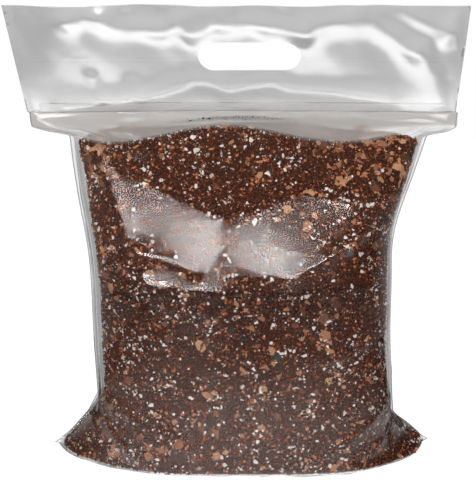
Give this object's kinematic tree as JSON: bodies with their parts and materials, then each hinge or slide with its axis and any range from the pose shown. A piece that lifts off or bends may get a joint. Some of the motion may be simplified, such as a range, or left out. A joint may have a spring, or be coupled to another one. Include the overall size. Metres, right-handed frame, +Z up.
{
  "type": "zip-top compost bag",
  "caption": "Clear film bag of potting compost standing on its base, closed by a press-to-close zip, with a hand slot cut through the flat header above it.",
  "frame": {"origin": "on the floor plane, under the middle of the bag's bounding box", "axes": "+Z up, the front panel faces -Y, +X to the right seen from the front"},
  "size_m": [0.413, 0.1628, 0.4514],
  "materials": {
    "clear_film": "clear and glossy",
    "zip_plastic": "translucent, satin",
    "compost": "matte, loose granules"
  },
  "bodies": {
    "root": {"film_bag": "clear_film", "zip_rib_strip": "zip_plastic", "zip_groove_strip": "zip_plastic", "compost_fill": "compost"}
  },
  "joints": []
}
